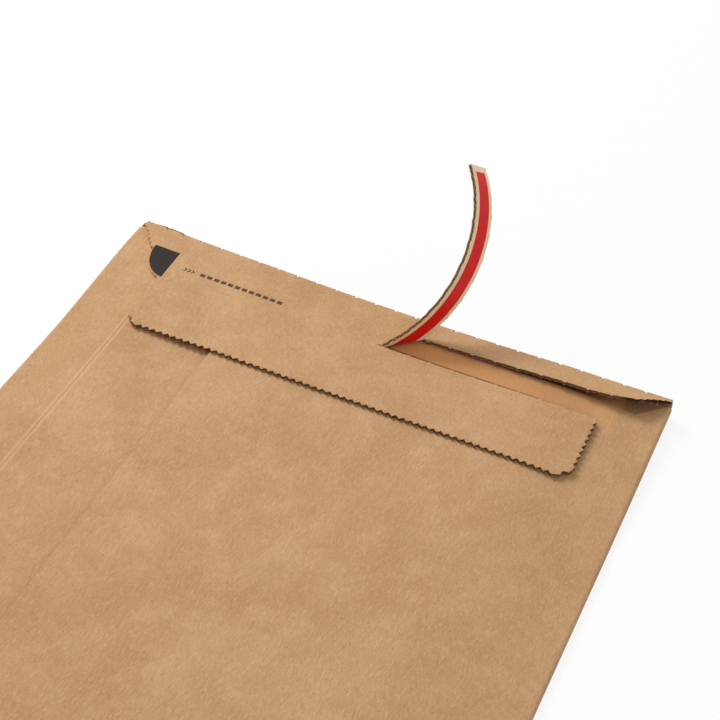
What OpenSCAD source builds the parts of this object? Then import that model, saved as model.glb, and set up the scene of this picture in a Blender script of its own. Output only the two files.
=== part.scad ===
// Envelope of corrugated board, closed, with its tear strip torn halfway and curled up.
// It lies on its front panel. +Y points to the closing flap's fold and +Z points up.
// The origin is the middle of the front panel's outer face.

/* [Envelope] */
// Width over the two side folds
envelope_w = 245; // [200:5:340]
// Length over the top and the bottom fold
envelope_l = 350; // [260:5:460]
// Thickness of the corrugated board
board_t = 1.5; // [1.2:0.1:1.8]
// Height of the pocket under the left back panel
pocket_h = 2.2; // [1.8:0.1:2.6]
// Gap that stays inside a side fold
side_gap = 0.6; // [0.4:0.1:1.0]
// Distance from a side fold to the crease where the back panel levels out
side_inset = 25; // [18:1:32]
// Width of the slope at the right side, which has no sharp crease
soft_slope = 48; // [36:2:60]
// Thickness of each glue line
glue_t = 0.15; // [0.1:0.05:0.25]

/* [Back seam] */
// Distance from the left side fold to the seam's edge
seam_x = 65.5; // [55:0.5:75]
// How far the left back panel reaches under the right one
seam_lap = 30; // [20:1:40]
// Width of the glue line in the seam
seam_glue_w = 14; // [8:1:18]

/* [Top fold and flap] */
// Outer radius of the bends at the top and bottom folds
fold_r = 3; // [2.4:0.1:3.4]
// Height of the spine between both bends at a fold's ends, where it is lowest
end_spine = 0.6; // [0.4:0.1:1.0]
// Distance from the top fold to the pocket's mouth
mouth_inset = 3; // [3:0.5:8]
// Depth of the closing flap, to the middle of its teeth
flap_l = 61; // [52:1:75]
// Width of the closing flap below its shoulders
flap_w = 195; // [160:5:198]
// Size of the cut at the flap's lower corners
flap_corner = 5; // [3:1:9]
// Pitch of the teeth along the flap's free edge
tooth_pitch = 3.2; // [2.6:0.1:4.2]
// Height of those teeth
tooth_h = 1.4; // [0.8:0.1:1.8]
// Pitch of the nicks in the top fold's crease
nick_pitch = 9.2; // [7:0.1:12]
// Depth of those nicks
nick_depth = 0.35; // [0.2:0.05:0.6]
// Width of those nicks
nick_w = 1.5; // [1:0.1:2.5]
// Width of the adhesive line that holds the flap
flap_glue_w = 14; // [10:1:18]
// Width of the thumb tab at the strip's left end
tab_w = 12; // [9:0.5:14]
// Depth of the thumb tab
tab_l = 17; // [14:0.5:20]

/* [Bottom closure] */
// Depth of the bottom flap
bottom_l = 36; // [28:1:50]
// Taper of the bottom flap's ends
bottom_taper = 14; // [8:1:20]
// Width of the bottom flap's glue line
bottom_glue_w = 16; // [10:1:20]
// Distance from a glue line's end to the edge or slope beside it
glue_margin = 10; // [5:1:15]

/* [Tear strip] */
// Depth of the band between the top fold and the strip
band_l = 14; // [11:0.5:18]
// Width of the tear strip
strip_w = 12.2; // [9:0.2:14]
// Gap that tearing leaves along each edge
tear_gap = 0.3; // [0.2:0.1:0.6]
// Depth of the slits that weaken the strip's edges from below
slit_depth = 0.9; // [0.6:0.1:1.1]
// Width of the bridges between those slits
bridge_w = 1.5; // [1:0.1:2.5]
// Where the torn part ends, to the right of the middle
hinge_x = 8.5; // [-40:0.5:40]
// Angle between the strip and the line about which it was pulled up
hinge_angle = 43; // [38:1:60]
// How far the strip is folded up along that line
lift_angle = 70; // [50:1:85]
// Radius of the fold, at the middle of the board
hinge_r = 1.6; // [1.3:0.1:2.4]
// Length of the curled part
curl_l = 90; // [60:1:110]
// Curl of the strip, in degrees for each millimetre
curl_rate = 1.03; // [0.5:0.01:1.3]
// Twist of the strip, in degrees for each millimetre
twist_rate = -0.09; // [-0.3:0.01:0.1]
// Slant of the strip's cut end
end_slant = 1.2; // [0:0.1:4]
// Size of the nubs that the torn perforation leaves
nub_h = 0.7; // [0.4:0.1:1.0]
// Width of the tear tape
tape_w = 6.2; // [4:0.2:8]
// Thickness of the tear tape
tape_t = 0.1; // [0.05:0.01:0.1]

/* [Hidden] */
kraft = [0.74, 0.58, 0.42];
tape_red = [0.72, 0.11, 0.12];
glue_tone = [0.86, 0.80, 0.62];

half_w = envelope_w / 2;
half_l = envelope_l / 2;

// Heights of the layers, from the floor up
left_z = board_t + pocket_h;
right_z = left_z + board_t + glue_t;
flap_z = right_z + board_t + glue_t;
top_z = flap_z + board_t;
side_r = board_t + side_gap / 2;
side_z = board_t + side_gap;
seam_edge_x = seam_x - half_w;
lap_end_x = seam_edge_x + seam_lap;
foot_x = half_w - side_r;
crease_x = side_inset - half_w;
slope_x = foot_x - soft_slope;

// Places along the length
tube_top_y = half_l - mouth_inset;
tube_bottom_y = mouth_inset - half_l;
band_y = half_l - band_l;
strip_low_y = band_y - strip_w;
strip_mid_y = band_y - strip_w / 2;
flap_end_y = half_l - flap_l;
fold_half_w = half_w - side_gap;
root_y = half_l - fold_r;
cover_y = root_y + 2 * fold_r;

// A closed flap is level between the seam's edge and fall_x. Beyond these it falls to both sides,
// as far as the back panels and the height of its fold's ends let it
fall_x = slope_x + soft_slope / 8;
fold_end_z = max(2 * fold_r + end_spine, side_z + 2 * board_t + 2 * glue_t);
left_fall = atan(min((top_z - fold_end_z) / (fold_half_w + seam_edge_x),
    (right_z - left_z) / (seam_edge_x - crease_x)));
right_fall = atan(min((top_z - fold_end_z) / (fold_half_w - fall_x),
    (right_z - side_z) / (foot_x - fall_x)));

// Geometry of the curled strip, from the hinge line on
strip_half = strip_w / 2 - tear_gap;
strip_mid_z = flap_z + board_t / 2;
hinge_reach = strip_w / 2 / tan(hinge_angle);
up = [0, 0, 1];
along = [cos(hinge_angle), sin(hinge_angle), 0];
across = [sin(hinge_angle), -cos(hinge_angle), 0];
tilted = across * cos(lift_angle) + up * sin(lift_angle);
ribbon_t = along * cos(hinge_angle) + tilted * sin(hinge_angle);
ribbon_w = along * sin(hinge_angle) - tilted * cos(hinge_angle);
ribbon_n = cross(ribbon_t, ribbon_w);
hinge_at = [hinge_x, strip_mid_y, strip_mid_z];
bend_l = hinge_r * lift_angle * PI / 180;
curl_start = hinge_at + along * bend_l * cos(hinge_angle) / sin(hinge_angle)
    + across * hinge_r * sin(lift_angle) + up * hinge_r * (1 - cos(lift_angle));
turn = ribbon_t * twist_rate - ribbon_w * curl_rate;
turn_rate = norm(turn);
turn_axis = turn / turn_rate;
bend_steps = 6;
curl_steps = 45;
nub_steps = 5;

function spun(v, angle) =
    v * cos(angle) + cross(turn_axis, v) * sin(angle) + turn_axis * (turn_axis * v) * (1 - cos(angle));

// A point of the fold: angle turned so far, offset across the strip, offset from its middle layer
function bend_point(angle, v, n) =
    let (d = hinge_r * angle * PI / 180, a = (v + d * cos(hinge_angle)) / sin(hinge_angle))
    hinge_at + along * a + across * (hinge_r - n) * sin(angle)
    + up * (hinge_r - (hinge_r - n) * cos(angle));

// A point of the curl at length s, which is a stretch of a helix about turn_axis
function curl_point(s, v, n) =
    let (run = max(s, 0), angle = turn_rate * run, rad = PI / 180 * turn_rate)
    let (straight = turn_axis * (turn_axis * ribbon_t), round_part = ribbon_t - straight)
    curl_start + straight * run + ribbon_t * min(s, 0)
    + round_part * sin(angle) / rad + cross(turn_axis, round_part) * (1 - cos(angle)) / rad
    + spun(ribbon_w, angle) * v + spun(ribbon_n, angle) * n;

// A point of station i, first round the fold and then along the curl to the slanted end
function strip_point(i, v, n) =
    let (f = (i - bend_steps) / curl_steps, s_start = v / tan(hinge_angle))
    let (s_end = curl_l + end_slant * v / strip_half)
    i <= bend_steps ? bend_point(lift_angle * i / bend_steps, v, n)
    : curl_point(s_start + (s_end - s_start) * f, v, n);

// Nubs stand out of the strip's edges at every torn bridge
function nub(i) = (i > bend_steps && (i - bend_steps) % nub_steps == 2) ? nub_h / 2 : 0;

// The four corners of the strip's section at one station
function strip_section(i, half, n_low, n_high) = [
    strip_point(i, -half, n_low),
    strip_point(i, half, n_low),
    strip_point(i, half, n_high),
    strip_point(i, -half, n_high)
];

// Teeth from corner a towards corner b, as points in turn inside and outside the line
function teeth(a, b) =
    let (v = b - a, n = max(2, round(norm(v) / tooth_pitch)), out = [-v[1], v[0]] / norm(v))
    [for (i = [0:2 * n - 1]) a + v * i / (2 * n) + (i == 0 ? [0, 0] : out * tooth_h / 2 * (i % 2 == 0 ? -1 : 1))];

// A torn edge from x = a to x = b at height y, with nubs of the given reach
function torn_edge(a, b, y, reach) =
    let (n = max(1, floor(abs(b - a) / nick_pitch)), step = (b - a) / n)
    [for (i = [0:n - 1], k = [0:3])
        [a + step * (i + [0.42, 0.46, 0.54, 0.58][k]), y + (k == 1 || k == 2 ? reach : 0)]];

function smooth(u) = u * u * (3 - 2 * u);

// A tube of quads through a list of four-cornered sections, closed at both ends
module ribbon(sections) {
    last = len(sections) - 1;
    points = [for (s = sections) each s];
    ends = [[0, 1, 2], [0, 2, 3], [4 * last, 4 * last + 2, 4 * last + 1], [4 * last, 4 * last + 3, 4 * last + 2]];
    walls = [for (i = [0:last - 1], k = [0:3])
        let (a = 4 * i + k, b = 4 * i + (k + 1) % 4)
        each [[a, a + 4, b + 4], [a, b + 4, b]]];
    polyhedron(points = points, faces = concat(ends, walls));
}

// Section of one side fold, a half ring open towards the envelope
module side_fold_section() {
    translate([side_r - half_w, side_r])
        difference() {
            circle(r = side_r, $fn = 48);
            circle(r = side_gap / 2, $fn = 48);
            translate([0, -side_r]) square([side_r, 2 * side_r]);
        }
}

module front_section() {
    translate([side_r - half_w, 0]) square([envelope_w - 2 * side_r, board_t]);
}

// Left back panel: up from its fold to the crease, then level to its hidden end
module left_back_section() {
    rise = [[-foot_x, side_z], [crease_x, left_z], [lap_end_x, left_z]];
    lift = [for (i = [2:-1:0]) rise[i] + [0, board_t]];
    polygon(concat(rise, lift));
}

// Right back panel: level from the seam's edge, then down in a soft slope to its fold
module right_back_section() {
    steps = 12;
    under = [for (i = [0:steps])
        [slope_x + soft_slope * i / steps, right_z + (side_z - right_z) * smooth(i / steps)]];
    over = [for (i = [steps:-1:0]) under[i] + [0, board_t]];
    polygon(concat([[seam_edge_x, right_z]], under, over, [[seam_edge_x, right_z + board_t]]));
}

// The folded tube between mouth and bottom
module tube() {
    translate([0, tube_top_y, 0])
        rotate([90, 0, 0])
            linear_extrude(tube_top_y - tube_bottom_y) {
                side_fold_section();
                mirror([1, 0]) side_fold_section();
                front_section();
                left_back_section();
                right_back_section();
            }
}

// Quarter of a bend, with its outer corner towards +x and the given side
module bend_section(z, side) {
    translate([half_l - fold_r, z])
        intersection() {
            difference() {
                circle(r = fold_r, $fn = 48);
                circle(r = fold_r - board_t, $fn = 48);
            }
            translate([0, side < 0 ? -fold_r : 0]) square(fold_r);
        }
}

// The front panel's end and the lower bend of an end fold
module lower_fold() {
    front_y = tube_top_y - 1;
    along_fold() {
        bend_section(fold_r, -1);
        translate([front_y, 0]) square([root_y - front_y, board_t]);
    }
}

// A level flap before its edges are cut, with its upper bend and the spine below that
module level_flap(end_y) {
    along_fold() {
        bend_section(top_z - fold_r, 1);
        translate([half_l - board_t, fold_r / 2]) square([board_t, top_z - 1.5 * fold_r]);
        translate([end_y, flap_z]) square([root_y - end_y, board_t]);
    }
}

module along_fold() {
    translate([-fold_half_w, 0, 0])
        rotate([90, 0, 90])
            linear_extrude(2 * fold_half_w) children();
}

// Turns a level flap about the line of its upper face at pivot_x
module turned(pivot_x, fall) {
    translate([pivot_x, 0, top_z])
        rotate([0, fall, 0])
            translate([-pivot_x, 0, -top_z])
                children();
}

// Everything to one side of a mitred joint, right of it with side 1 and left of it with side 0
module beside_joint(pivot_x, lean, side) {
    reach = 2 * envelope_w;
    translate([pivot_x, 0, top_z])
        rotate([0, lean, 0])
            translate([(side - 1) * reach, -reach, -reach])
                cube([reach, 2 * reach, 2 * reach]);
}

// Everything below the top of the lower bends, where the spines end
module below_spine() {
    translate([-half_w, -envelope_l, -fold_r]) cube([envelope_w, 2 * envelope_l, 2 * fold_r]);
}

// Lays a level flap on the back panels, in three stretches with mitred joints. The spine ends on
// the lower bend
module settled() {
    difference() {
        union() {
            intersection() {
                children();
                beside_joint(seam_edge_x, -left_fall / 2, 1);
                beside_joint(fall_x, right_fall / 2, 0);
            }
            intersection() {
                turned(seam_edge_x, -left_fall) children();
                beside_joint(seam_edge_x, -left_fall / 2, 0);
            }
            intersection() {
                turned(fall_x, right_fall) children();
                beside_joint(fall_x, right_fall / 2, 1);
            }
        }
        below_spine();
    }
}

// Height of a closed flap's underside across the envelope
function flap_under(x) =
    flap_z - max(0, seam_edge_x - x) * tan(left_fall) - max(0, x - fall_x) * tan(right_fall);

// Nicks of the cut crease along the top fold's upper outer corner
module crease_nicks() {
    count = floor((envelope_w - nick_pitch) / nick_pitch);
    reach = fold_r * (sqrt(2) - 1) + nick_depth;
    for (i = [0:count - 1]) {
        x = (i - (count - 1) / 2) * nick_pitch;
        translate([x, half_l, flap_under(x) + board_t])
            rotate([45, 0, 0])
                cube([nick_w, 3 * fold_r, 2 * reach], center = true);
    }
}

// Slits from below that weaken both edges of the strip where it still holds
module perforation() {
    start_x = nick_pitch - flap_w / 2;
    count = floor((hinge_x - hinge_reach - start_x) / nick_pitch);
    for (i = [0:count - 1], y = [strip_low_y, band_y]) {
        x = start_x + i * nick_pitch;
        translate([x, y - tear_gap / 2, 0])
            cube([nick_pitch - bridge_w, tear_gap, flap_under(x) + slit_depth]);
    }
}

// A quarter of an ellipse, which widens the strip's left end into a thumb tab
module tab_outline() {
    steps = 16;
    centre = [tab_w / 8 - flap_w / 2, band_y];
    arc = [for (i = [0:steps]) centre - [tab_w * cos(90 * i / steps), tab_l * sin(90 * i / steps)]];
    polygon(concat([centre], arc));
}

// The part of a flap's outline that covers its fold
fold_cover = [[-fold_half_w, cover_y], [fold_half_w, cover_y]];

// Outline of the closing flap, with teeth on every free edge
module flap_outline() {
    side = flap_w / 2;
    right = [
        [fold_half_w, root_y],
        [side, strip_low_y],
        [side, flap_end_y + flap_corner],
        [side - flap_corner, flap_end_y]
    ];
    left = [for (i = [3:-1:0]) [-right[i][0], right[i][1]]];
    corners = concat(right, left);
    polygon(concat(fold_cover, [for (i = [0:6]) each teeth(corners[i], corners[i + 1])]));
    tab_outline();
}

// What tearing opened: from the hinge line to beyond the flap's right side
module slot_outline() {
    side = flap_w / 2;
    right_x = half_w + tooth_h;
    upper = torn_edge(right_x, hinge_x + hinge_reach, band_y, -nub_h);
    lower = torn_edge(hinge_x - hinge_reach, side, strip_low_y, nub_h / 2);
    polygon(concat([[right_x, band_y]], upper,
        [[hinge_x + hinge_reach, band_y], [hinge_x - hinge_reach, strip_low_y]], lower,
        [[side, strip_low_y], [side, strip_low_y - tooth_h], [right_x, strip_low_y - tooth_h]]));
}

// Cuts a flap that lies on the back panels to an outline
module cut_to_outline(end_y) {
    intersection() {
        settled() level_flap(end_y);
        linear_extrude(2 * top_z) children();
    }
}

// The closing flap with the top fold, and with the slot that the torn strip left
module closing_flap() {
    difference() {
        cut_to_outline(flap_end_y - tooth_h)
            difference() {
                flap_outline();
                slot_outline();
            }
        crease_nicks();
        perforation();
    }
}

// The bottom flap with its fold, level, its ends cut slanting, folded up over the back
module bottom_flap() {
    end_y = half_l - bottom_l;
    difference() {
        mirror([0, 1, 0]) level_flap(end_y);
        below_spine();
        for (side = [-1, 1])
            linear_extrude(2 * top_z)
                polygon([
                    [side * half_w, 1 - root_y],
                    [side * (fold_half_w - bottom_taper), 1 - end_y],
                    [side * half_w, 1 - end_y]
                ]);
    }
}

// The torn part of the strip, folded up at the hinge line and curled
module curled_strip() {
    count = bend_steps + curl_steps;
    root = [for (p = strip_section(0, strip_half, -board_t / 2, board_t / 2)) p - across * 0.8];
    ribbon(concat([root], [for (i = [0:count])
        strip_section(i, strip_half + nub(i), -board_t / 2, board_t / 2)]));
}

module envelope_board() {
    color(kraft) {
        tube();
        lower_fold();
        closing_flap();
        mirror([0, 1, 0]) lower_fold();
        bottom_flap();
        curled_strip();
    }
}

// Tear tape under the strip: flat where the strip still holds, then round the curl
module tear_tape() {
    count = bend_steps + curl_steps;
    low = -board_t / 2 - tape_t;
    high = -board_t / 2;
    side = tape_w / 2;
    flat = [for (x = [-flap_w / 2, seam_edge_x])
        [for (c = [[-side, -tape_t], [side, -tape_t], [side, 0], [-side, 0]])
            [x, strip_mid_y + c[0], flap_under(x) + c[1]]]];
    color(tape_red)
        ribbon(concat(flat, [for (i = [0:count]) strip_section(i, side, low, high)]));
}

module closure_adhesive() {
    start_x = seam_edge_x + glue_margin;
    length = slope_x - glue_margin - start_x;
    mid_y = (strip_low_y + flap_end_y) / 2;
    color(glue_tone)
        translate([start_x, mid_y - flap_glue_w / 2, right_z + board_t])
            cube([length, flap_glue_w, glue_t]);
}

module seam_glue() {
    length = envelope_l - 2 * (mouth_inset + glue_margin);
    color(glue_tone)
        translate([seam_edge_x + seam_lap / 2 - seam_glue_w / 2, -length / 2, left_z + board_t])
            cube([seam_glue_w, length, glue_t]);
}

module bottom_glue() {
    start_x = seam_edge_x + glue_margin;
    length = slope_x - glue_margin - start_x;
    mid_y = (mouth_inset + bottom_l) / 2 - half_l;
    color(glue_tone)
        translate([start_x, mid_y - bottom_glue_w / 2, right_z + board_t])
            cube([length, bottom_glue_w, glue_t]);
}

envelope_board();
tear_tape();
closure_adhesive();
seam_glue();
bottom_glue();
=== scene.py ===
"""Looks of the corrugated board envelope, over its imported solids."""

import math

import bmesh
import bpy
from mathutils import Matrix, Vector
from mathutils.kdtree import KDTree


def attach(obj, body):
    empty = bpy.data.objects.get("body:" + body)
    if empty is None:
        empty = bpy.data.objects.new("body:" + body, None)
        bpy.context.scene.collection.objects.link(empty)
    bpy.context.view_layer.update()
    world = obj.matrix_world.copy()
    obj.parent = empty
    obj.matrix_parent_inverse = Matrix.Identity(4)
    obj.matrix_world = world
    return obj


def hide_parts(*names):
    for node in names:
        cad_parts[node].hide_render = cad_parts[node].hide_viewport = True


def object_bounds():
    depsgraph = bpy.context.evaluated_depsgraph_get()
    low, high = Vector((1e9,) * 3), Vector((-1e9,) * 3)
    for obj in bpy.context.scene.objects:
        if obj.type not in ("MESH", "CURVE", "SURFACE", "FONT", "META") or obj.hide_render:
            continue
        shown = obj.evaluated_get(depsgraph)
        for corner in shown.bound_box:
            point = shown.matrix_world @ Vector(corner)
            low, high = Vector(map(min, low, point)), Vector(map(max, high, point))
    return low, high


MM = 0.001

# Camera, matched to the photograph's view of the envelope, in millimetres and degrees
CAMERA_AT = (180.69, -343.35, 482.38)
CAMERA_YAW = 20.639
CAMERA_PITCH = 42.71
CAMERA_ROLL = 5.093
CAMERA_LENS = 85.77

# The board, its flutes, and how high and where its layers lie, in millimetres
BOARD = 1.5
LINER = 0.25
FLUTE = 3.2
LEFT_TOP = 5.2
FLAP_UNDER = 7.0
FLAP_TOP = FLAP_UNDER + BOARD
SEAM_X = -57.0
CREASE_X = -97.5
FALL_X = 78.7
FALL_END_X = 121.9
FALL_END_TOP = 6.6

# The closing flap and the strip in it
FLAP_SIDE = 97.5
ROOT_Y = 172.0
BAND_Y = 161.0
STRIP_LOW_Y = 148.8
STRIP_MID_Y = 154.9
STRIP_HALF = 5.8
STRIP_HALF_CUT = 6.1
STRIP_FROM_Z = FLAP_TOP + 0.02

# The fold at the strip's root, and the curl after it
HINGE_X = 8.5
HINGE_ANGLE = 43.0
HINGE_R = 1.6
LIFT = 70.0
CURL_L = 90.0
CURL_RATE = 1.03
TWIST_RATE = -0.09
END_SLANT = 1.2
HINGE_REACH = STRIP_HALF_CUT / math.tan(math.radians(HINGE_ANGLE))

# The floor and the light, in metres and watts
FLOOR_HALF = 4.0
FLOOR_GAP = 0.00005
FLOOR_GLOW = 0.86
ROOM_LIGHT = 0.6
WINDOW_AT = (-0.75, 0.55, 0.95)
WINDOW_AIM = (-0.02, 0.05, 0)
WINDOW_SIZE = 0.55
WINDOW_POWER = 10.0

# The print on the flap, in millimetres
MARK_AT = (-96.0, 161.0)
MARK_SIZE = (12.0, 17.0)
WORDS_FROM = -90.4
WORDS_TO = -42.8
DASHES_FROM = WORDS_FROM + 8.2
WORDS_Y = 152.85
CHEVRON_TIP = WORDS_FROM + 1.9
CHEVRON_PITCH = 1.75
DASH_PITCH = 3.3

# How the closed flap falls to both sides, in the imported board
LEFT_FALL = (FLAP_TOP - FALL_END_TOP) / (FALL_END_X + SEAM_X)
RIGHT_FALL = (FLAP_TOP - FALL_END_TOP) / (FALL_END_X - FALL_X)

# How the real board has cupped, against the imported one, in millimetres and degrees
CUP_MID = -0.9
CUP_END = 3.7
END_PULL = 2.9
PANEL_SWELL = 1.1
BAND_TILT = 0.16
BAND_END_TILT = 15.0

# The stretches over which that cupping comes in, in millimetres
CUP_SIDE = 120.0
CUP_Y = (92, 172)
MOUTH_Y = (158, 172)
MID_Z = (2.0, 6.0)
SIDE_Z = (0.5, 3.0)
FRONT_SHARE = 0.55
SWELL_X = (94, 106)
SWELL_END_X = (112, 121)
SWELL_Y = (128, 162)
SWELL_Z = (2.0, 3.2)
PULL_X = (98, 122)
PULL_Z = (2.2, 5.5)
TILT_FROM_X = 15
TILT_X = (10, 30)
TILT_END_X = (90, 120)
GRID_X = (-120, 120, 8)
GRID_Y = (96, 171.5, 4)

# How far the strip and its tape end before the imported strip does, and the tape's section
STRIP_SHORT = 2.4
STRIP_SHORT_S = (45, 92)
TAPE_SHORT = 3.7
TAPE_HALF = 3.5
TAPE = 0.1
TAPE_IN = 0.01

# What the board's material is told of each face
FACE_VALUES = ("edge", "endgrain", "depth", "run", "upper", "inner")

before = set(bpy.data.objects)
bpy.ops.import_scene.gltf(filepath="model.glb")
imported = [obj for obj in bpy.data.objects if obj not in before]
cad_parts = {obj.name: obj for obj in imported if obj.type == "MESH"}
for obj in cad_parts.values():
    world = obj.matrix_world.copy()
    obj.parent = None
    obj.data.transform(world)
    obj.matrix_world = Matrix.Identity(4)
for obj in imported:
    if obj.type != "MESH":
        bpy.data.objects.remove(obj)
solid_low, solid_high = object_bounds()


def smooth(value, low, high):
    """0 below low, 1 above high, and an even curve between them."""
    t = min(max((value - low) / (high - low), 0.0), 1.0)
    return t * t * (3 - 2 * t)


class Curl:
    """The torn strip's path: round the fold at its root, then along a stretch of a helix."""

    def __init__(self):
        a = math.radians(HINGE_ANGLE)
        tip = math.radians(LIFT)
        up = Vector((0, 0, 1))
        self.along = Vector((math.cos(a), math.sin(a), 0))
        self.across = Vector((math.sin(a), -math.cos(a), 0))
        self.up = up
        self.a = a
        self.hinge = Vector((HINGE_X, STRIP_MID_Y, FLAP_UNDER + BOARD / 2))
        tilted = self.across * math.cos(tip) + up * math.sin(tip)
        self.t = self.along * math.cos(a) + tilted * math.sin(a)
        self.w = self.along * math.sin(a) - tilted * math.cos(a)
        self.n = self.t.cross(self.w)
        bend_l = HINGE_R * tip
        self.bend_l = bend_l
        self.start = (
            self.hinge
            + self.along * (bend_l * math.cos(a) / math.sin(a))
            + self.across * (HINGE_R * math.sin(tip))
            + up * (HINGE_R * (1 - math.cos(tip)))
        )
        turn = self.t * TWIST_RATE - self.w * CURL_RATE
        self.rate = math.radians(turn.length)
        self.axis = turn.normalized()

    def fold_point(self, angle, v, n):
        """A point of the fold: angle turned so far, offsets across the strip and from its middle."""
        d = HINGE_R * angle
        a = (v + d * math.cos(self.a)) / math.sin(self.a)
        return (
            self.hinge
            + self.along * a
            + self.across * ((HINGE_R - n) * math.sin(angle))
            + self.up * (HINGE_R - (HINGE_R - n) * math.cos(angle))
        )

    def curl_point(self, s, v, n):
        """A point of the helix, at length s along it."""
        run = max(s, 0.0)
        angle = self.rate * run
        straight = self.axis * self.axis.dot(self.t)
        round_part = self.t - straight
        turned = Matrix.Rotation(angle, 3, self.axis)
        return (
            self.start
            + straight * run
            + self.t * min(s, 0.0)
            + round_part * (math.sin(angle) / self.rate)
            + self.axis.cross(round_part) * ((1 - math.cos(angle)) / self.rate)
            + (turned @ self.w) * v
            + (turned @ self.n) * n
        )

    def point(self, s, v, n):
        """A point at length s from the root, where the fold comes first."""
        fold = self.bend_l
        start = v / math.tan(self.a)
        end = CURL_L + END_SLANT * v / STRIP_HALF
        if s < fold:
            return self.fold_point(s / HINGE_R, v, n)
        part = (s - fold) / CURL_L
        return self.curl_point(start + part * (end - start), v, n)


class Value:
    """One socket's output, with arithmetic that adds Math nodes."""

    def __init__(self, shader, socket):
        self.shader = shader
        self.socket = socket

    def math(self, operation, *others):
        return self.shader.add("ShaderNodeMath", {"operation": operation}, self, *others)

    def __add__(self, other):
        return self.math("ADD", other)

    def __sub__(self, other):
        return self.math("SUBTRACT", other)

    def __mul__(self, other):
        return self.math("MULTIPLY", other)

    def __truediv__(self, other):
        return self.math("DIVIDE", other)

    def __rsub__(self, other):
        return self.shader.add("ShaderNodeMath", {"operation": "SUBTRACT"}, other, self)

    __radd__ = __add__
    __rmul__ = __mul__

    def above(self, edge, soft):
        """0 below edge, 1 above it, over a soft width."""
        return self.shader.add(
            "ShaderNodeMapRange",
            {"interpolation_type": "SMOOTHSTEP"},
            self,
            edge - soft / 2,
            edge + soft / 2,
        )

    def below(self, edge, soft):
        return 1 - self.above(edge, soft)


class Shader:
    """A material's node tree."""

    def __init__(self, name, **fixed):
        self.material = bpy.data.materials.new(name)
        self.material.use_nodes = True
        self.tree = self.material.node_tree
        self.tree.nodes.clear()
        self.output = self.tree.nodes.new("ShaderNodeOutputMaterial")
        self.surface = self.tree.nodes.new("ShaderNodeBsdfPrincipled")
        self.tree.links.new(self.surface.outputs[0], self.output.inputs[0])
        for socket, value in fixed.items():
            self.surface.inputs[socket.replace("_", " ")].default_value = value

    def add(self, kind, settings, *values, out=0, **named):
        """A node of one kind, its settings first, then values or links for its sockets."""
        node = self.tree.nodes.new(kind)
        for name, value in settings.items():
            setattr(node, name, value)
        pairs = list(zip(node.inputs, values))
        pairs += [(node.inputs[name.replace("_", " ")], value) for name, value in named.items()]
        for socket, value in pairs:
            if isinstance(value, Value):
                self.tree.links.new(value.socket, socket)
            elif value is not None:
                socket.default_value = value
        return Value(self, node.outputs[out])

    def place(self):
        """Object coordinates."""
        return self.add("ShaderNodeTexCoord", {}, out=3)

    def attribute(self, name, out=2):
        """What the mesh says of a face: a number, or a vector with out=1."""
        return self.add("ShaderNodeAttribute", {"attribute_name": name}, out=out)

    def parts(self, vector):
        """A vector's x, y and z."""
        split = self.tree.nodes.new("ShaderNodeSeparateXYZ")
        self.tree.links.new(vector.socket, split.inputs[0])
        return [Value(self, socket) for socket in split.outputs]

    def noise(self, where, scale, detail=2.0, roughness=0.5):
        return self.add(
            "ShaderNodeTexNoise",
            {},
            Vector=where,
            Scale=scale,
            Detail=detail,
            Roughness=roughness,
        )

    def stretch(self, where, scale):
        return self.add("ShaderNodeMapping", {}, Vector=where, Scale=scale)

    def mix(self, factor, first, second):
        """Colour between first and second."""
        node = self.tree.nodes.new("ShaderNodeMix")
        node.data_type = "RGBA"
        for index, value in ((0, factor), (6, first), (7, second)):
            socket = node.inputs[index]
            if isinstance(value, Value):
                self.tree.links.new(value.socket, socket)
            else:
                socket.default_value = value
        return Value(self, node.outputs[2])

    def set(self, socket, value):
        self.tree.links.new(value.socket, self.surface.inputs[socket])

    def bump(self, height, distance, strength=1.0):
        raised = self.add("ShaderNodeBump", {}, Height=height, Distance=distance, Strength=strength)
        self.set("Normal", raised)


def tone(red, green, blue):
    """A colour given in the 0 to 255 values of a picture."""

    def linear(c):
        c = c / 255
        return c / 12.92 if c <= 0.04045 else ((c + 0.055) / 1.055) ** 2.4

    return (linear(red), linear(green), linear(blue), 1.0)


def flutes(shader, run, depth):
    """What a cut across the flutes shows: two liners and the wave between them; the hollows around them are
    left to painted shade.
    """
    wave = (run * (math.tau / FLUTE)).math("SINE") * 0.29 + 0.5
    off = (depth - wave).math("ABSOLUTE")
    medium = off.below(0.1, 0.06)
    skin = 1 - depth.above(LINER / BOARD, 0.06) * depth.below(1 - LINER / BOARD, 0.06)
    return medium.math("MAXIMUM", skin)


def kraft_shade(shader, where, across):
    """Kraft liner: long fibres, fine specks, slow clouds, and the flutes that show through."""
    cloud = shader.noise(where, 26.0, 4.0, 0.62)
    patch = shader.noise(where, 95.0, 3.0, 0.6)
    grain = shader.noise(where, 900.0, 2.0, 0.7)
    fibres = shader.noise(shader.stretch(where, (2400.0, 420.0, 1400.0)), 1.0, 3.0, 0.62)
    cross = shader.noise(shader.stretch(where, (520.0, 2900.0, 1400.0)), 1.0, 2.0, 0.6)
    base = shader.mix(cloud.above(0.5, 0.5), tone(185, 143, 100), tone(198, 157, 115))
    base = shader.mix(patch.above(0.56, 0.3) * 0.3, base, tone(214, 173, 134))
    base = shader.mix(fibres.above(0.6, 0.16) * 0.34, base, tone(226, 190, 152))
    base = shader.mix(cross.above(0.64, 0.14) * 0.26, base, tone(222, 184, 146))
    base = shader.mix(fibres.below(0.4, 0.14) * 0.26, base, tone(158, 115, 78))
    base = shader.mix(grain.below(0.36, 0.12) * 0.34, base, tone(150, 107, 72))
    washboard = (across * (math.tau / (FLUTE * MM))).math("SINE") * 0.5 + 0.5
    relief = fibres * 0.5 + cross * 0.25 + grain * 0.25
    return base, relief, washboard


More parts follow.
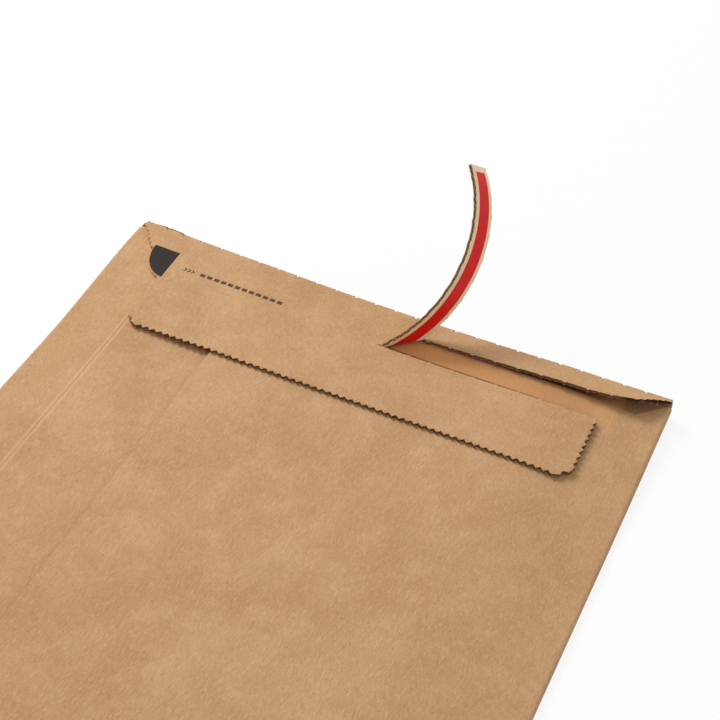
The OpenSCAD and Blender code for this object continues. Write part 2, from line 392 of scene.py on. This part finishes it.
class BoardFaces:
    """What the board's material is told of each face: its place before cupping, and what it is."""

    def __init__(self, shader):
        self.flat = shader.attribute("flat", out=1)
        self.u, self.v, self.h = shader.parts(self.flat)
        for name in FACE_VALUES:
            setattr(self, name, shader.attribute(name))
        self.panel = (1 - self.upper) * (1 - self.edge)


def left_crease(shader, face, base):
    """The left panel's crease: a painted highlight along its ridge, and a groove along its middle with
    painted shade in it. Returns how deep, too.
    """
    off = (face.u - CREASE_X * MM).math("ABSOLUTE")
    wander = shader.noise(shader.stretch(face.flat, (300.0, 60.0, 300.0)), 1.0, 2.0)
    below_flap = 1 - face.upper
    score_and_shade = off.below(0.0005, 0.0006) * below_flap * (wander * 0.8 + 0.3) * face.v.below(0.1725, 0.003)
    # Painted highlight: a pale line along the crease's ridge.
    base = shader.mix(off.below(0.0013, 0.001) * below_flap * 0.45, base, tone(222, 184, 142))
    # Painted shade in the groove along its middle, which the bump also sinks.
    return shader.mix(score_and_shade * 0.5, base, tone(150, 108, 72)), score_and_shade


def fold_cracks(shader, face, base):
    """Pale and dark cracks where a fold stretches the board. Returns how deep, too."""
    crack = shader.noise(shader.stretch(face.flat, (700.0, 2600.0, 2600.0)), 1.0, 3.0, 0.7)
    fold = face.v.math("ABSOLUTE").above(0.1728, 0.0016)
    base = shader.mix(fold * crack.above(0.56, 0.16) * 0.5, base, tone(220, 186, 150))
    base = shader.mix(fold * crack.below(0.42, 0.16) * 0.5, base, tone(146, 106, 72))
    return base, fold * crack


def flap_print(shader, face):
    """Where the flap has ink: the thumb mark, three chevrons and a row of dashes."""
    mx = (face.u - MARK_AT[0] * MM) / (MARK_SIZE[0] * MM)
    my = (face.v - MARK_AT[1] * MM) / (MARK_SIZE[1] * MM)
    rag = (shader.noise(face.flat, 1500.0, 2.0) - 0.5) * 0.05
    radius = (mx * mx + my * my).math("SQRT") + rag
    mark = radius.below(1.0, 0.03) * mx.below(0.0, 0.02) * my.below(0.0, 0.02)
    row = (face.v - WORDS_Y * MM).math("ABSOLUTE")
    phase = ((face.u - DASHES_FROM * MM) / (DASH_PITCH * MM)).math("FRACT")
    words = phase.above(0.08, 0.05) * phase.below(0.8, 0.05) * row.below(0.00094, 0.0002)
    words = words * face.u.above(DASHES_FROM * MM, 0.0001) * face.u.below(WORDS_TO * MM, 0.0001)
    for k in range(3):
        tip = (CHEVRON_TIP + CHEVRON_PITCH * k) * MM
        arm = (face.u + row - tip).math("ABSOLUTE").below(0.00042, 0.0002)
        words = words.math("MAXIMUM", arm * row.below(0.0011, 0.0002))
    return mark.math("MAXIMUM", words * 0.86) * face.upper


def cut_edge(shader, face):
    """The tone of a cut edge: the flutes seen from their ends with their hollows painted dark as shade, or
    along them with a darker core; painted light on the left rims and painted shade at the right end.
    """
    core = face.depth.above(LINER / BOARD, 0.08) * face.depth.below(1 - LINER / BOARD, 0.08)
    # Along the flutes the core is darker: torn fibre with painted shade of the open flute.
    torn = shader.mix(shader.noise(face.flat, 1400.0, 3.0, 0.7), tone(88, 58, 36), tone(140, 100, 68))
    lengthwise = shader.mix(core, tone(172, 130, 92), torn)
    # Across the flutes the hollows are painted dark brown, as their shade.
    ends = shader.mix(flutes(shader, face.run, face.depth), tone(70, 45, 28), tone(170, 128, 90))
    rim = shader.mix(face.endgrain, lengthwise, ends)
    # Painted light: the rims along the flap's left side and left corner painted pale, hiding the shade
    # between the teeth.
    painted_light_rim = face.u.below(-0.0905, 0.002) * face.v.above(0.1165, 0.003) * face.v.below(0.1722, 0.0006)
    rim = shader.mix(painted_light_rim * 0.95, rim, tone(236, 196, 150))
    # Painted shade: the rims at the right end of the band and fold painted near black, as the shade of the
    # opened fold.
    painted_shade_end = face.u.above(0.104, 0.004) * face.v.above(0.158, 0.003)
    return shader.mix(painted_shade_end * 0.85, rim, tone(38, 24, 16))


def under_the_band(shader, face, base):
    """Painted light and shade in the slot: painted shade under the torn band, painted light and shade on the
    slot floor, a painted pool of light under the band's right end, and a painted shadow line along the slot's
    lower edge.
    """
    u, v, h = face.u, face.v, face.h
    # Painted shade: near black under the torn band, lighter at its right end.
    painted_shade_under_band = face.panel * v.above(0.1616, 0.002) * v.below(0.1735, 0.001) * u.above(0.016, 0.012)
    painted_shade_under_band = painted_shade_under_band * (u + (0.172 - v) * 1.052).below(0.1212, 0.0016) * h.above(0.003, 0.0004)
    base = shader.mix(painted_shade_under_band * (u.below(0.096, 0.016) * 0.5 + 0.4), base, tone(50, 31, 20))
    # Painted light and shade on the slot floor: lighter and more orange near the strip's root, darker brown
    # to the right.
    floor = face.panel * v.above(0.149, 0.001) * v.below(0.1618, 0.001) * u.above(0.002, 0.004)
    floor = floor * u.below(0.104, 0.03) * h.above(0.0055, 0.0004)
    painted_floor_tone = shader.mix(u.below(0.056, 0.06), tone(190, 134, 86), tone(232, 162, 98))
    base = shader.mix(floor * 0.62, base, painted_floor_tone)
    # Painted light: a pale pool on the panel under the band's right end, lifting its cast shadow.
    lit = face.panel * u.above(0.09, 0.03) * v.above(0.15, 0.016) * v.below(0.1715, 0.001)
    base = shader.mix(lit * h.above(0.0045, 0.0004) * 0.5, base, tone(218, 164, 110))
    # Painted shadow: a dark line on the slot floor along its lower edge, fading to the right.
    painted_shadow_line = floor * v.below(0.1512, 0.0008) * u.below(0.07, 0.05)
    return shader.mix(painted_shadow_line * 0.75, base, tone(92, 58, 36))


def kraft_board():
    """The envelope's board, with its cut edges, creases and print, and light and shade painted on its edges,
    crease and slot.
    """
    shader = Shader("kraft_board", Roughness=0.9, Specular_IOR_Level=0.18)
    face = BoardFaces(shader)
    base, relief, washboard = kraft_shade(shader, face.flat, face.u)
    base, score_and_shade = left_crease(shader, face, base)
    base, cracks = fold_cracks(shader, face, base)
    ink = flap_print(shader, face)
    ink_tone = shader.mix(shader.noise(face.flat, 700.0, 2.0), tone(31, 26, 24), tone(42, 37, 34))
    wear = shader.noise(face.flat, 1300.0, 2.0, 0.6).above(0.33, 0.12)
    base = shader.mix(ink * (wear * 0.07 + 0.92), base, ink_tone)
    base = shader.mix(face.edge, base, cut_edge(shader, face))
    base = under_the_band(shader, face, base)
    base = shader.mix(face.inner * 0.9, base, tone(255, 230, 192))
    shader.set("Base Color", base)
    shader.set("Roughness", 0.9 - ink * 0.25)
    shader.bump(relief + washboard * 0.22 * (1 - face.edge) - score_and_shade * 0.6 - cracks * 0.8, 0.00009)
    return shader.material


def torn_fibre():
    """The loose ends of paper fibres along a torn edge."""
    shader = Shader("torn_fibre", Roughness=0.95)
    where = shader.place()
    tuft = shader.noise(where, 800.0, 2.0, 0.6).above(0.5, 0.5)
    shader.set("Base Color", shader.mix(tuft, tone(168, 126, 88), tone(214, 180, 142)))
    return shader.material


def red_tape():
    """Tear tape: a thin red film, slightly glossy, with soft streaks."""
    shader = Shader("tear_tape_film", Roughness=0.34, Specular_IOR_Level=0.12)
    where = shader.place()
    streak = shader.noise(shader.stretch(where, (160.0, 160.0, 160.0)), 1.0, 2.0)
    fine = shader.noise(where, 1600.0, 2.0, 0.6)
    base = shader.mix(streak.above(0.5, 0.6), tone(216, 12, 12), tone(238, 22, 18))
    base = shader.mix(fine.below(0.4, 0.2) * 0.25, base, tone(176, 14, 18))
    shader.set("Base Color", base)
    shader.set("Roughness", streak * 0.2 + 0.26)
    shader.bump(streak * 0.7 + fine * 0.3, 0.00005)
    return shader.material


def dry_glue():
    """Dried glue, cream and slightly uneven."""
    shader = Shader("dry_glue", Roughness=0.6)
    where = shader.place()
    cloud = shader.noise(where, 300.0)
    shader.set("Base Color", shader.mix(cloud, tone(214, 198, 156), tone(232, 220, 184)))
    shader.bump(shader.noise(where, 240.0, 2.0), 0.0001)
    return shader.material


def dress(node, material):
    """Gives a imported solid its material, and leaves it as it is otherwise."""
    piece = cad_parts[node]
    piece.data.materials.clear()
    piece.data.materials.append(material)


def camera():
    """The photograph's camera."""
    yaw, pitch, roll = (math.radians(a) for a in (CAMERA_YAW, CAMERA_PITCH, CAMERA_ROLL))
    ahead = Vector((-math.sin(yaw) * math.cos(pitch), math.cos(yaw) * math.cos(pitch), -math.sin(pitch)))
    level = Vector((math.cos(yaw), math.sin(yaw), 0))
    rise = level.cross(ahead)
    right = level * math.cos(roll) + rise * math.sin(roll)
    top = rise * math.cos(roll) - level * math.sin(roll)
    data = bpy.data.cameras.new("camera")
    data.lens = CAMERA_LENS
    data.sensor_width = 36.0
    data.clip_end = 20.0
    thing = bpy.data.objects.new("camera", data)
    bpy.context.scene.collection.objects.link(thing)
    turn = Matrix((right, top, -ahead)).transposed().to_4x4()
    thing.matrix_world = Matrix.Translation(Vector(CAMERA_AT) * MM) @ turn
    bpy.context.scene.camera = thing


def area_light(name, at, aim, size, power):
    """A round lamp at one place, aimed at another."""
    data = bpy.data.lights.new(name, "AREA")
    data.shape = "DISK"
    data.size = size
    data.energy = power
    thing = bpy.data.objects.new(name, data)
    thing.location = at
    thing.rotation_mode = "QUATERNION"
    thing.rotation_quaternion = (Vector(aim) - Vector(at)).to_track_quat("-Z", "Y")
    bpy.context.scene.collection.objects.link(thing)


def studio():
    """White floor, soft white room and one window light from the left."""
    shader = Shader("white_floor", Roughness=0.9)
    shader.surface.inputs["Base Color"].default_value = (0.92, 0.92, 0.92, 1)
    glow = shader.add("ShaderNodeEmission", {}, (1, 1, 1, 1), 1.0)
    seen = shader.add("ShaderNodeLightPath", {}, out=0)
    lit = Value(shader, shader.surface.outputs[0])
    shown = shader.add("ShaderNodeMixShader", {}, seen * FLOOR_GLOW, lit, glow)
    shader.tree.links.new(shown.socket, shader.output.inputs[0])
    mesh = bpy.data.meshes.new("floor")
    top = solid_low.z - FLOOR_GAP
    corners = [(x * FLOOR_HALF, y * FLOOR_HALF, top) for x, y in ((-1, -1), (1, -1), (1, 1), (-1, 1))]
    mesh.from_pydata(corners, [], [(0, 1, 2, 3)])
    mesh.materials.append(shader.material)
    floor = bpy.data.objects.new("floor", mesh)
    bpy.context.scene.collection.objects.link(floor)
    world = bpy.data.worlds.new("room")
    world.use_nodes = True
    tree = world.node_tree
    soft = tree.nodes["Background"]
    soft.inputs[0].default_value = (1, 1, 1, 1)
    soft.inputs[1].default_value = ROOM_LIGHT
    plain = tree.nodes.new("ShaderNodeBackground")
    plain.inputs[0].default_value = (1, 1, 1, 1)
    seen = tree.nodes.new("ShaderNodeLightPath")
    mix = tree.nodes.new("ShaderNodeMixShader")
    tree.links.new(seen.outputs["Is Camera Ray"], mix.inputs[0])
    tree.links.new(soft.outputs[0], mix.inputs[1])
    tree.links.new(plain.outputs[0], mix.inputs[2])
    tree.links.new(mix.outputs[0], tree.nodes["World Output"].inputs[0])
    bpy.context.scene.world = world
    area_light("window", WINDOW_AT, WINDOW_AIM, WINDOW_SIZE, WINDOW_POWER)


def flap_under(x):
    """Height of the closing flap's underside across the envelope."""
    return FLAP_UNDER - max(0.0, SEAM_X - x) * LEFT_FALL - max(0.0, x - FALL_X) * RIGHT_FALL


def warped(p):
    """Where a point of the plain folded board lies on the real one, which has cupped a little."""
    x, y, z = p
    side = abs(x) / CUP_SIDE
    rise = CUP_MID * smooth(y, *MOUTH_Y) * smooth(z, *MID_Z) * (1 - side * side)
    lower = FRONT_SHARE * side * side
    rise += CUP_END * side * side * smooth(y, *CUP_Y) * (lower + (1 - lower) * smooth(z, *SIDE_Z))
    if z < flap_under(x) - 0.2:
        across = smooth(-x, *SWELL_X) * (1 - smooth(-x, *SWELL_END_X))
        rise += PANEL_SWELL * across * smooth(y, *SWELL_Y) * smooth(z, *SWELL_Z)
    pull = END_PULL * smooth(-x, *PULL_X) * smooth(y, *MOUTH_Y) * smooth(z, *PULL_Z)
    out = Vector((x + pull, y, z + rise))
    if y > BAND_Y - 0.9 and x > HINGE_X + HINGE_REACH and z > flap_under(x) - 0.1:
        tilt = BAND_TILT * (x - TILT_FROM_X) * smooth(x, *TILT_X) + BAND_END_TILT * smooth(x, *TILT_END_X)
        tilt = math.radians(tilt)
        arm = max(ROOT_Y - y, 0.0)
        out += Vector((0, arm * (1 - math.cos(tilt)), arm * math.sin(tilt)))
    return out


def spans(low, high, step):
    """Even places from low to high, about a step apart."""
    count = max(int(round((high - low) / step)), 1)
    return [low + (high - low) * i / count for i in range(count + 1)]


def split_by_grid(bm):
    """Gives the flat parts of the board enough points to bend, and leaves the strip as it is."""
    for axis, grid in ((0, GRID_X), (1, GRID_Y)):
        for place in spans(*grid):
            level = {f for f in bm.faces if all(v.co.z < STRIP_FROM_Z * MM for v in f.verts)}
            edges = {e for f in level for e in f.edges}
            verts = {v for f in level for v in f.verts}
            at = [0.0, 0.0, 0.0]
            way = [0.0, 0.0, 0.0]
            at[axis], way[axis] = place * MM, 1.0
            cut = list(verts) + list(edges) + list(level)
            bmesh.ops.bisect_plane(bm, geom=cut, dist=1e-7, plane_co=at, plane_no=way)


def strip_places(curl):
    """Points all over the strip, to tell where on it a point of the board's mesh is."""
    rows = [
        (s, v, n)
        for s in spans(0, CURL_L + 1.9, 0.4)
        for v in spans(-6.5, 6.5, 0.65)
        for n in (-0.75, 0.0, 0.75)
    ]
    tree = KDTree(len(rows))
    for i, (s, v, n) in enumerate(rows):
        tree.insert(curl.point(s, v, n), i)
    tree.balance()
    return rows, tree


def strip_face(strip):
    """Tells a face of the curled strip: whether it is a cut edge, seen from the flutes' ends, or inner."""
    length, across, through = ([r[i] for r in strip] for i in range(3))
    thick = max(through) - min(through) > 1.0
    side = thick and max(across) - min(across) < 2.6
    edge = side or (thick and min(length) > CURL_L)
    return float(edge), float(side), float(not edge and max(through) < 0)


def plain_face(normal, middle):
    """Tells a face of the folded board: a cut edge, seen from the flutes' ends, or the open end of a fold."""
    steep = abs(normal.z) <= 0.5
    if steep and middle.z > flap_under(middle.x) - 0.05 and abs(middle.y) < ROOT_Y - 0.1:
        return 1.0, float(abs(normal.y) > 0.35), False
    if steep and abs(middle.x - SEAM_X) < 0.3 and middle.z > LEFT_TOP:
        return 1.0, 0.0, False
    fold_end = abs(normal.x) > 0.7 and abs(middle.x) > 121.0 and abs(middle.y) > ROOT_Y - 1.2
    return float(fold_end), 0.0, fold_end


def depth_in_board(p, middle, edge):
    """How deep a point of a cut edge lies in its board: 0 at the lower liner, 1 at the upper one."""
    on_panel = edge and middle.z < flap_under(middle.x) - 0.05
    return (p.z - (LEFT_TOP if on_panel else flap_under(p.x))) / BOARD


def tell_faces(bm, on_strip):
    """Writes what the material needs to know of each face to the mesh."""
    flat = bm.loops.layers.float_vector.new("flat")
    layers = {name: bm.loops.layers.float.new(name) for name in FACE_VALUES}
    for face in bm.faces:
        middle = face.calc_center_median() / MM
        normal = face.normal
        strip = [on_strip[v] for v in face.verts if v in on_strip]
        upper = normal.z > 0.5 and middle.z > flap_under(middle.x) + 1.0
        inner, fold_end = 0.0, False
        if len(strip) == len(face.verts):
            edge, endgrain, inner = strip_face(strip)
        else:
            edge, endgrain, fold_end = plain_face(normal, middle)
        for loop in face.loops:
            p = loop.vert.co / MM
            depth, run = depth_in_board(p, middle, edge), p.x
            if loop.vert in on_strip:
                run, v, n = on_strip[loop.vert]
                depth = n / BOARD + 0.5
            # An open fold end takes the dark core tone all over, as painted shade of the fold's hollow.
            elif fold_end:
                depth = 0.5
            loop[flat] = loop.vert.co
            for name, value in zip(FACE_VALUES, (edge, endgrain, depth, run, float(upper), inner)):
                loop[layers[name]] = value


def board_piece(curl, material):
    """The board as packed, cupped and with what its material needs to know of each face."""
    bm = bmesh.new()
    bm.from_mesh(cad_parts["envelope_board"].data)
    bmesh.ops.remove_doubles(bm, verts=bm.verts[:], dist=2e-6)
    split_by_grid(bm)
    bm.normal_update()
    rows, tree = strip_places(curl)
    raised = [vert for vert in bm.verts if vert.co.z > STRIP_FROM_Z * MM]
    on_strip = {vert: rows[tree.find(vert.co / MM)[1]] for vert in raised}
    tell_faces(bm, on_strip)
    for vert in bm.verts:
        if vert in on_strip:
            s, v, n = on_strip[vert]
            shorter = s - STRIP_SHORT * smooth(s, *STRIP_SHORT_S)
            vert.co += (curl.point(shorter, v, n) - curl.point(s, v, n)) * MM
        else:
            vert.co = warped(vert.co / MM) * MM
    mesh = bpy.data.meshes.new("envelope_board_cupped")
    bm.to_mesh(mesh)
    bm.free()
    shade_smooth(mesh, 32)
    return finished("envelope_board_cupped", mesh, material, "kraft_board", "envelope_board")


def shade_smooth(mesh, sharp_from):
    """Smooth faces, with edges left sharp from an angle in degrees."""
    for polygon in mesh.polygons:
        polygon.use_smooth = True
    mesh.set_sharp_from_angle(angle=math.radians(sharp_from))


def finished(name, mesh, material, slot, *nodes):
    """A piece of the scene on the envelope's body, with the solids that it stands for hidden; slot is not
    used.
    """
    piece = bpy.data.objects.new(name, mesh)
    bpy.context.scene.collection.objects.link(piece)
    mesh.materials.clear()
    mesh.materials.append(material)
    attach(piece, "root")
    if nodes:
        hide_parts(*nodes)
    return piece


def tape_piece(curl, material):
    """The tear tape, which ends a little before the strip does."""
    half, low, high = TAPE_HALF, -BOARD / 2 - TAPE, -BOARD / 2 + TAPE_IN
    corners = ((-half, low), (half, low), (half, high), (-half, high))
    rings = []
    for x in (-FLAP_SIDE, SEAM_X):
        under = flap_under(x)
        rings.append([Vector((x, STRIP_MID_Y + v, under + (n + BOARD / 2))) for v, n in corners])
    for s in spans(0, CURL_L - TAPE_SHORT, 1.0):
        rings.append([curl.point(s, v, n) for v, n in corners])
    bm = bmesh.new()
    made = [[bm.verts.new(p * MM) for p in ring] for ring in rings]
    for a, b in zip(made, made[1:]):
        for i in range(4):
            j = (i + 1) % 4
            bm.faces.new((a[i], a[j], b[j], b[i]))
    bm.faces.new(made[0])
    bm.faces.new(reversed(made[-1]))
    bmesh.ops.recalc_face_normals(bm, faces=bm.faces[:])
    mesh = bpy.data.meshes.new("tear_tape_film")
    bm.to_mesh(mesh)
    bm.free()
    shade_smooth(mesh, 40)
    return finished("tear_tape_film", mesh, material, "tear_tape", "tear_tape")


def torn_lines(curl):
    """The torn edges, as lines of points, where the board's fibres stand out."""
    upper, lower = FLAP_UNDER + BOARD - 0.2, FLAP_UNDER + 0.2
    lines = []
    right = spans(HINGE_X + HINGE_REACH, 119, 2.0)
    for z in (upper, lower):
        lines.append([warped(Vector((x, BAND_Y - 0.1, z - FLAP_UNDER + flap_under(x)))) for x in right])
        slot = spans(HINGE_X - HINGE_REACH + 1, FLAP_SIDE - 2, 2.0)
        lines.append([warped(Vector((x, STRIP_LOW_Y, z - FLAP_UNDER + flap_under(x)))) for x in slot])
    for v in (-STRIP_HALF, STRIP_HALF):
        for n in (-0.6, 0.0, 0.6):
            lines.append([curl.point(s, v, n) for s in spans(3, CURL_L, 2.0)])
    return lines


def fibre_tree():
    """Sprouts short fibres along lines: inputs for their spacing, length and width."""
    tree = bpy.data.node_groups.new("torn_fibres", "GeometryNodeTree")
    face = tree.interface
    face.new_socket("Geometry", in_out="INPUT", socket_type="NodeSocketGeometry")
    for name in ("Spacing", "Length", "Width"):
        face.new_socket(name, in_out="INPUT", socket_type="NodeSocketFloat")
    face.new_socket("Seed", in_out="INPUT", socket_type="NodeSocketInt")
    face.new_socket("Finish", in_out="INPUT", socket_type="NodeSocketMaterial")
    face.new_socket("Geometry", in_out="OUTPUT", socket_type="NodeSocketGeometry")

    def node(kind, settings=None, **links):
        new = tree.nodes.new(kind)
        for key, value in (settings or {}).items():
            setattr(new, key, value)
        for key, value in links.items():
            numbered = key[0] == "i" and key[1:].isdigit()
            socket = new.inputs[int(key[1:]) if numbered else key.replace("_", " ")]
            if isinstance(value, bpy.types.NodeSocket):
                tree.links.new(value, socket)
            else:
                socket.default_value = value
        return new

    given = node("NodeGroupInput").outputs
    lines = node("GeometryNodeMeshToCurve", Mesh=given["Geometry"])
    points = node("GeometryNodeResampleCurve", {"mode": "LENGTH"}, Curve=lines.outputs[0])
    tree.links.new(given["Spacing"], points.inputs["Length"])
    start = node("GeometryNodeCurvePrimitiveLine")
    tip = node("ShaderNodeCombineXYZ", Z=given["Length"])
    tree.links.new(tip.outputs[0], start.inputs["End"])
    bent = node("GeometryNodeResampleCurve", {"mode": "COUNT"}, Curve=start.outputs[0], Count=4)
    along = node("GeometryNodeSplineParameter")
    times = {"operation": "MULTIPLY"}
    bow = node("ShaderNodeMath", times, i0=along.outputs["Factor"], i1=along.outputs["Factor"])
    sway = node("ShaderNodeMath", times, i0=bow.outputs[0], i1=given["Length"])
    lean = node("ShaderNodeMath", times, i0=sway.outputs[0], i1=0.5)
    shift = node("ShaderNodeCombineXYZ", X=lean.outputs[0])
    curved = node("GeometryNodeSetPosition", Geometry=bent.outputs[0], Offset=shift.outputs[0])
    ring = node("GeometryNodeCurvePrimitiveCircle", Resolution=3, Radius=given["Width"])
    fibre = node("GeometryNodeCurveToMesh", Curve=curved.outputs[0], Profile_Curve=ring.outputs[0])
    fibre.inputs["Fill Caps"].default_value = True
    spin = node("FunctionNodeRandomValue", {"data_type": "FLOAT_VECTOR"}, Seed=given["Seed"])
    spin.inputs[0].default_value = (-3.1, -3.1, -3.1)
    spin.inputs[1].default_value = (3.1, 3.1, 3.1)
    size = node("FunctionNodeRandomValue", {"data_type": "FLOAT"}, Seed=given["Seed"])
    size.inputs[2].default_value = 0.3
    size.inputs[3].default_value = 1.1
    wander = node("FunctionNodeRandomValue", {"data_type": "FLOAT_VECTOR"}, Seed=given["Seed"])
    wander.inputs[0].default_value = (-0.0003, -0.0002, -0.0002)
    wander.inputs[1].default_value = (0.0003, 0.0002, 0.0002)
    placed = node("GeometryNodeSetPosition", Geometry=points.outputs[0], Offset=wander.outputs[0])
    copies = node("GeometryNodeInstanceOnPoints", Points=placed.outputs[0], Instance=fibre.outputs[0])
    tree.links.new(spin.outputs[0], copies.inputs["Rotation"])
    tree.links.new(size.outputs[1], copies.inputs["Scale"])
    real = node("GeometryNodeRealizeInstances", Geometry=copies.outputs[0])
    dressed = node("GeometryNodeSetMaterial", Geometry=real.outputs[0], Material=given["Finish"])
    node("NodeGroupOutput", Geometry=dressed.outputs[0])
    return tree


def fibre_piece(curl, material):
    """Short loose fibres along the torn edges, made real from the node group."""
    bm = bmesh.new()
    for line in torn_lines(curl):
        verts = [bm.verts.new(p * MM) for p in line]
        for a, b in zip(verts, verts[1:]):
            bm.edges.new((a, b))
    mesh = bpy.data.meshes.new("torn_lines")
    bm.to_mesh(mesh)
    bm.free()
    lines = bpy.data.objects.new("torn_lines", mesh)
    bpy.context.scene.collection.objects.link(lines)
    modifier = lines.modifiers.new("fibres", "NODES")
    modifier.node_group = fibre_tree()
    sizes = {"Spacing": 0.0006, "Length": 0.0008, "Width": 0.000035, "Seed": 7, "Finish": material}
    for item in modifier.node_group.interface.items_tree:
        if item.in_out == "INPUT" and item.name in sizes:
            modifier[item.identifier] = sizes[item.name]
    graph = bpy.context.evaluated_depsgraph_get()
    made = bpy.data.meshes.new_from_object(lines.evaluated_get(graph))
    made.name = "torn_fibres"
    bpy.data.objects.remove(lines)
    return finished("torn_fibres", made, material, "kraft_board")


curl = Curl()
board_piece(curl, kraft_board())
tape_piece(curl, red_tape())
fibre_piece(curl, torn_fibre())
glue = dry_glue()
for line in ("closure_adhesive", "seam_glue", "bottom_glue"):
    dress(line, glue)
camera()
studio()
bpy.context.scene.view_settings.view_transform = "Standard"
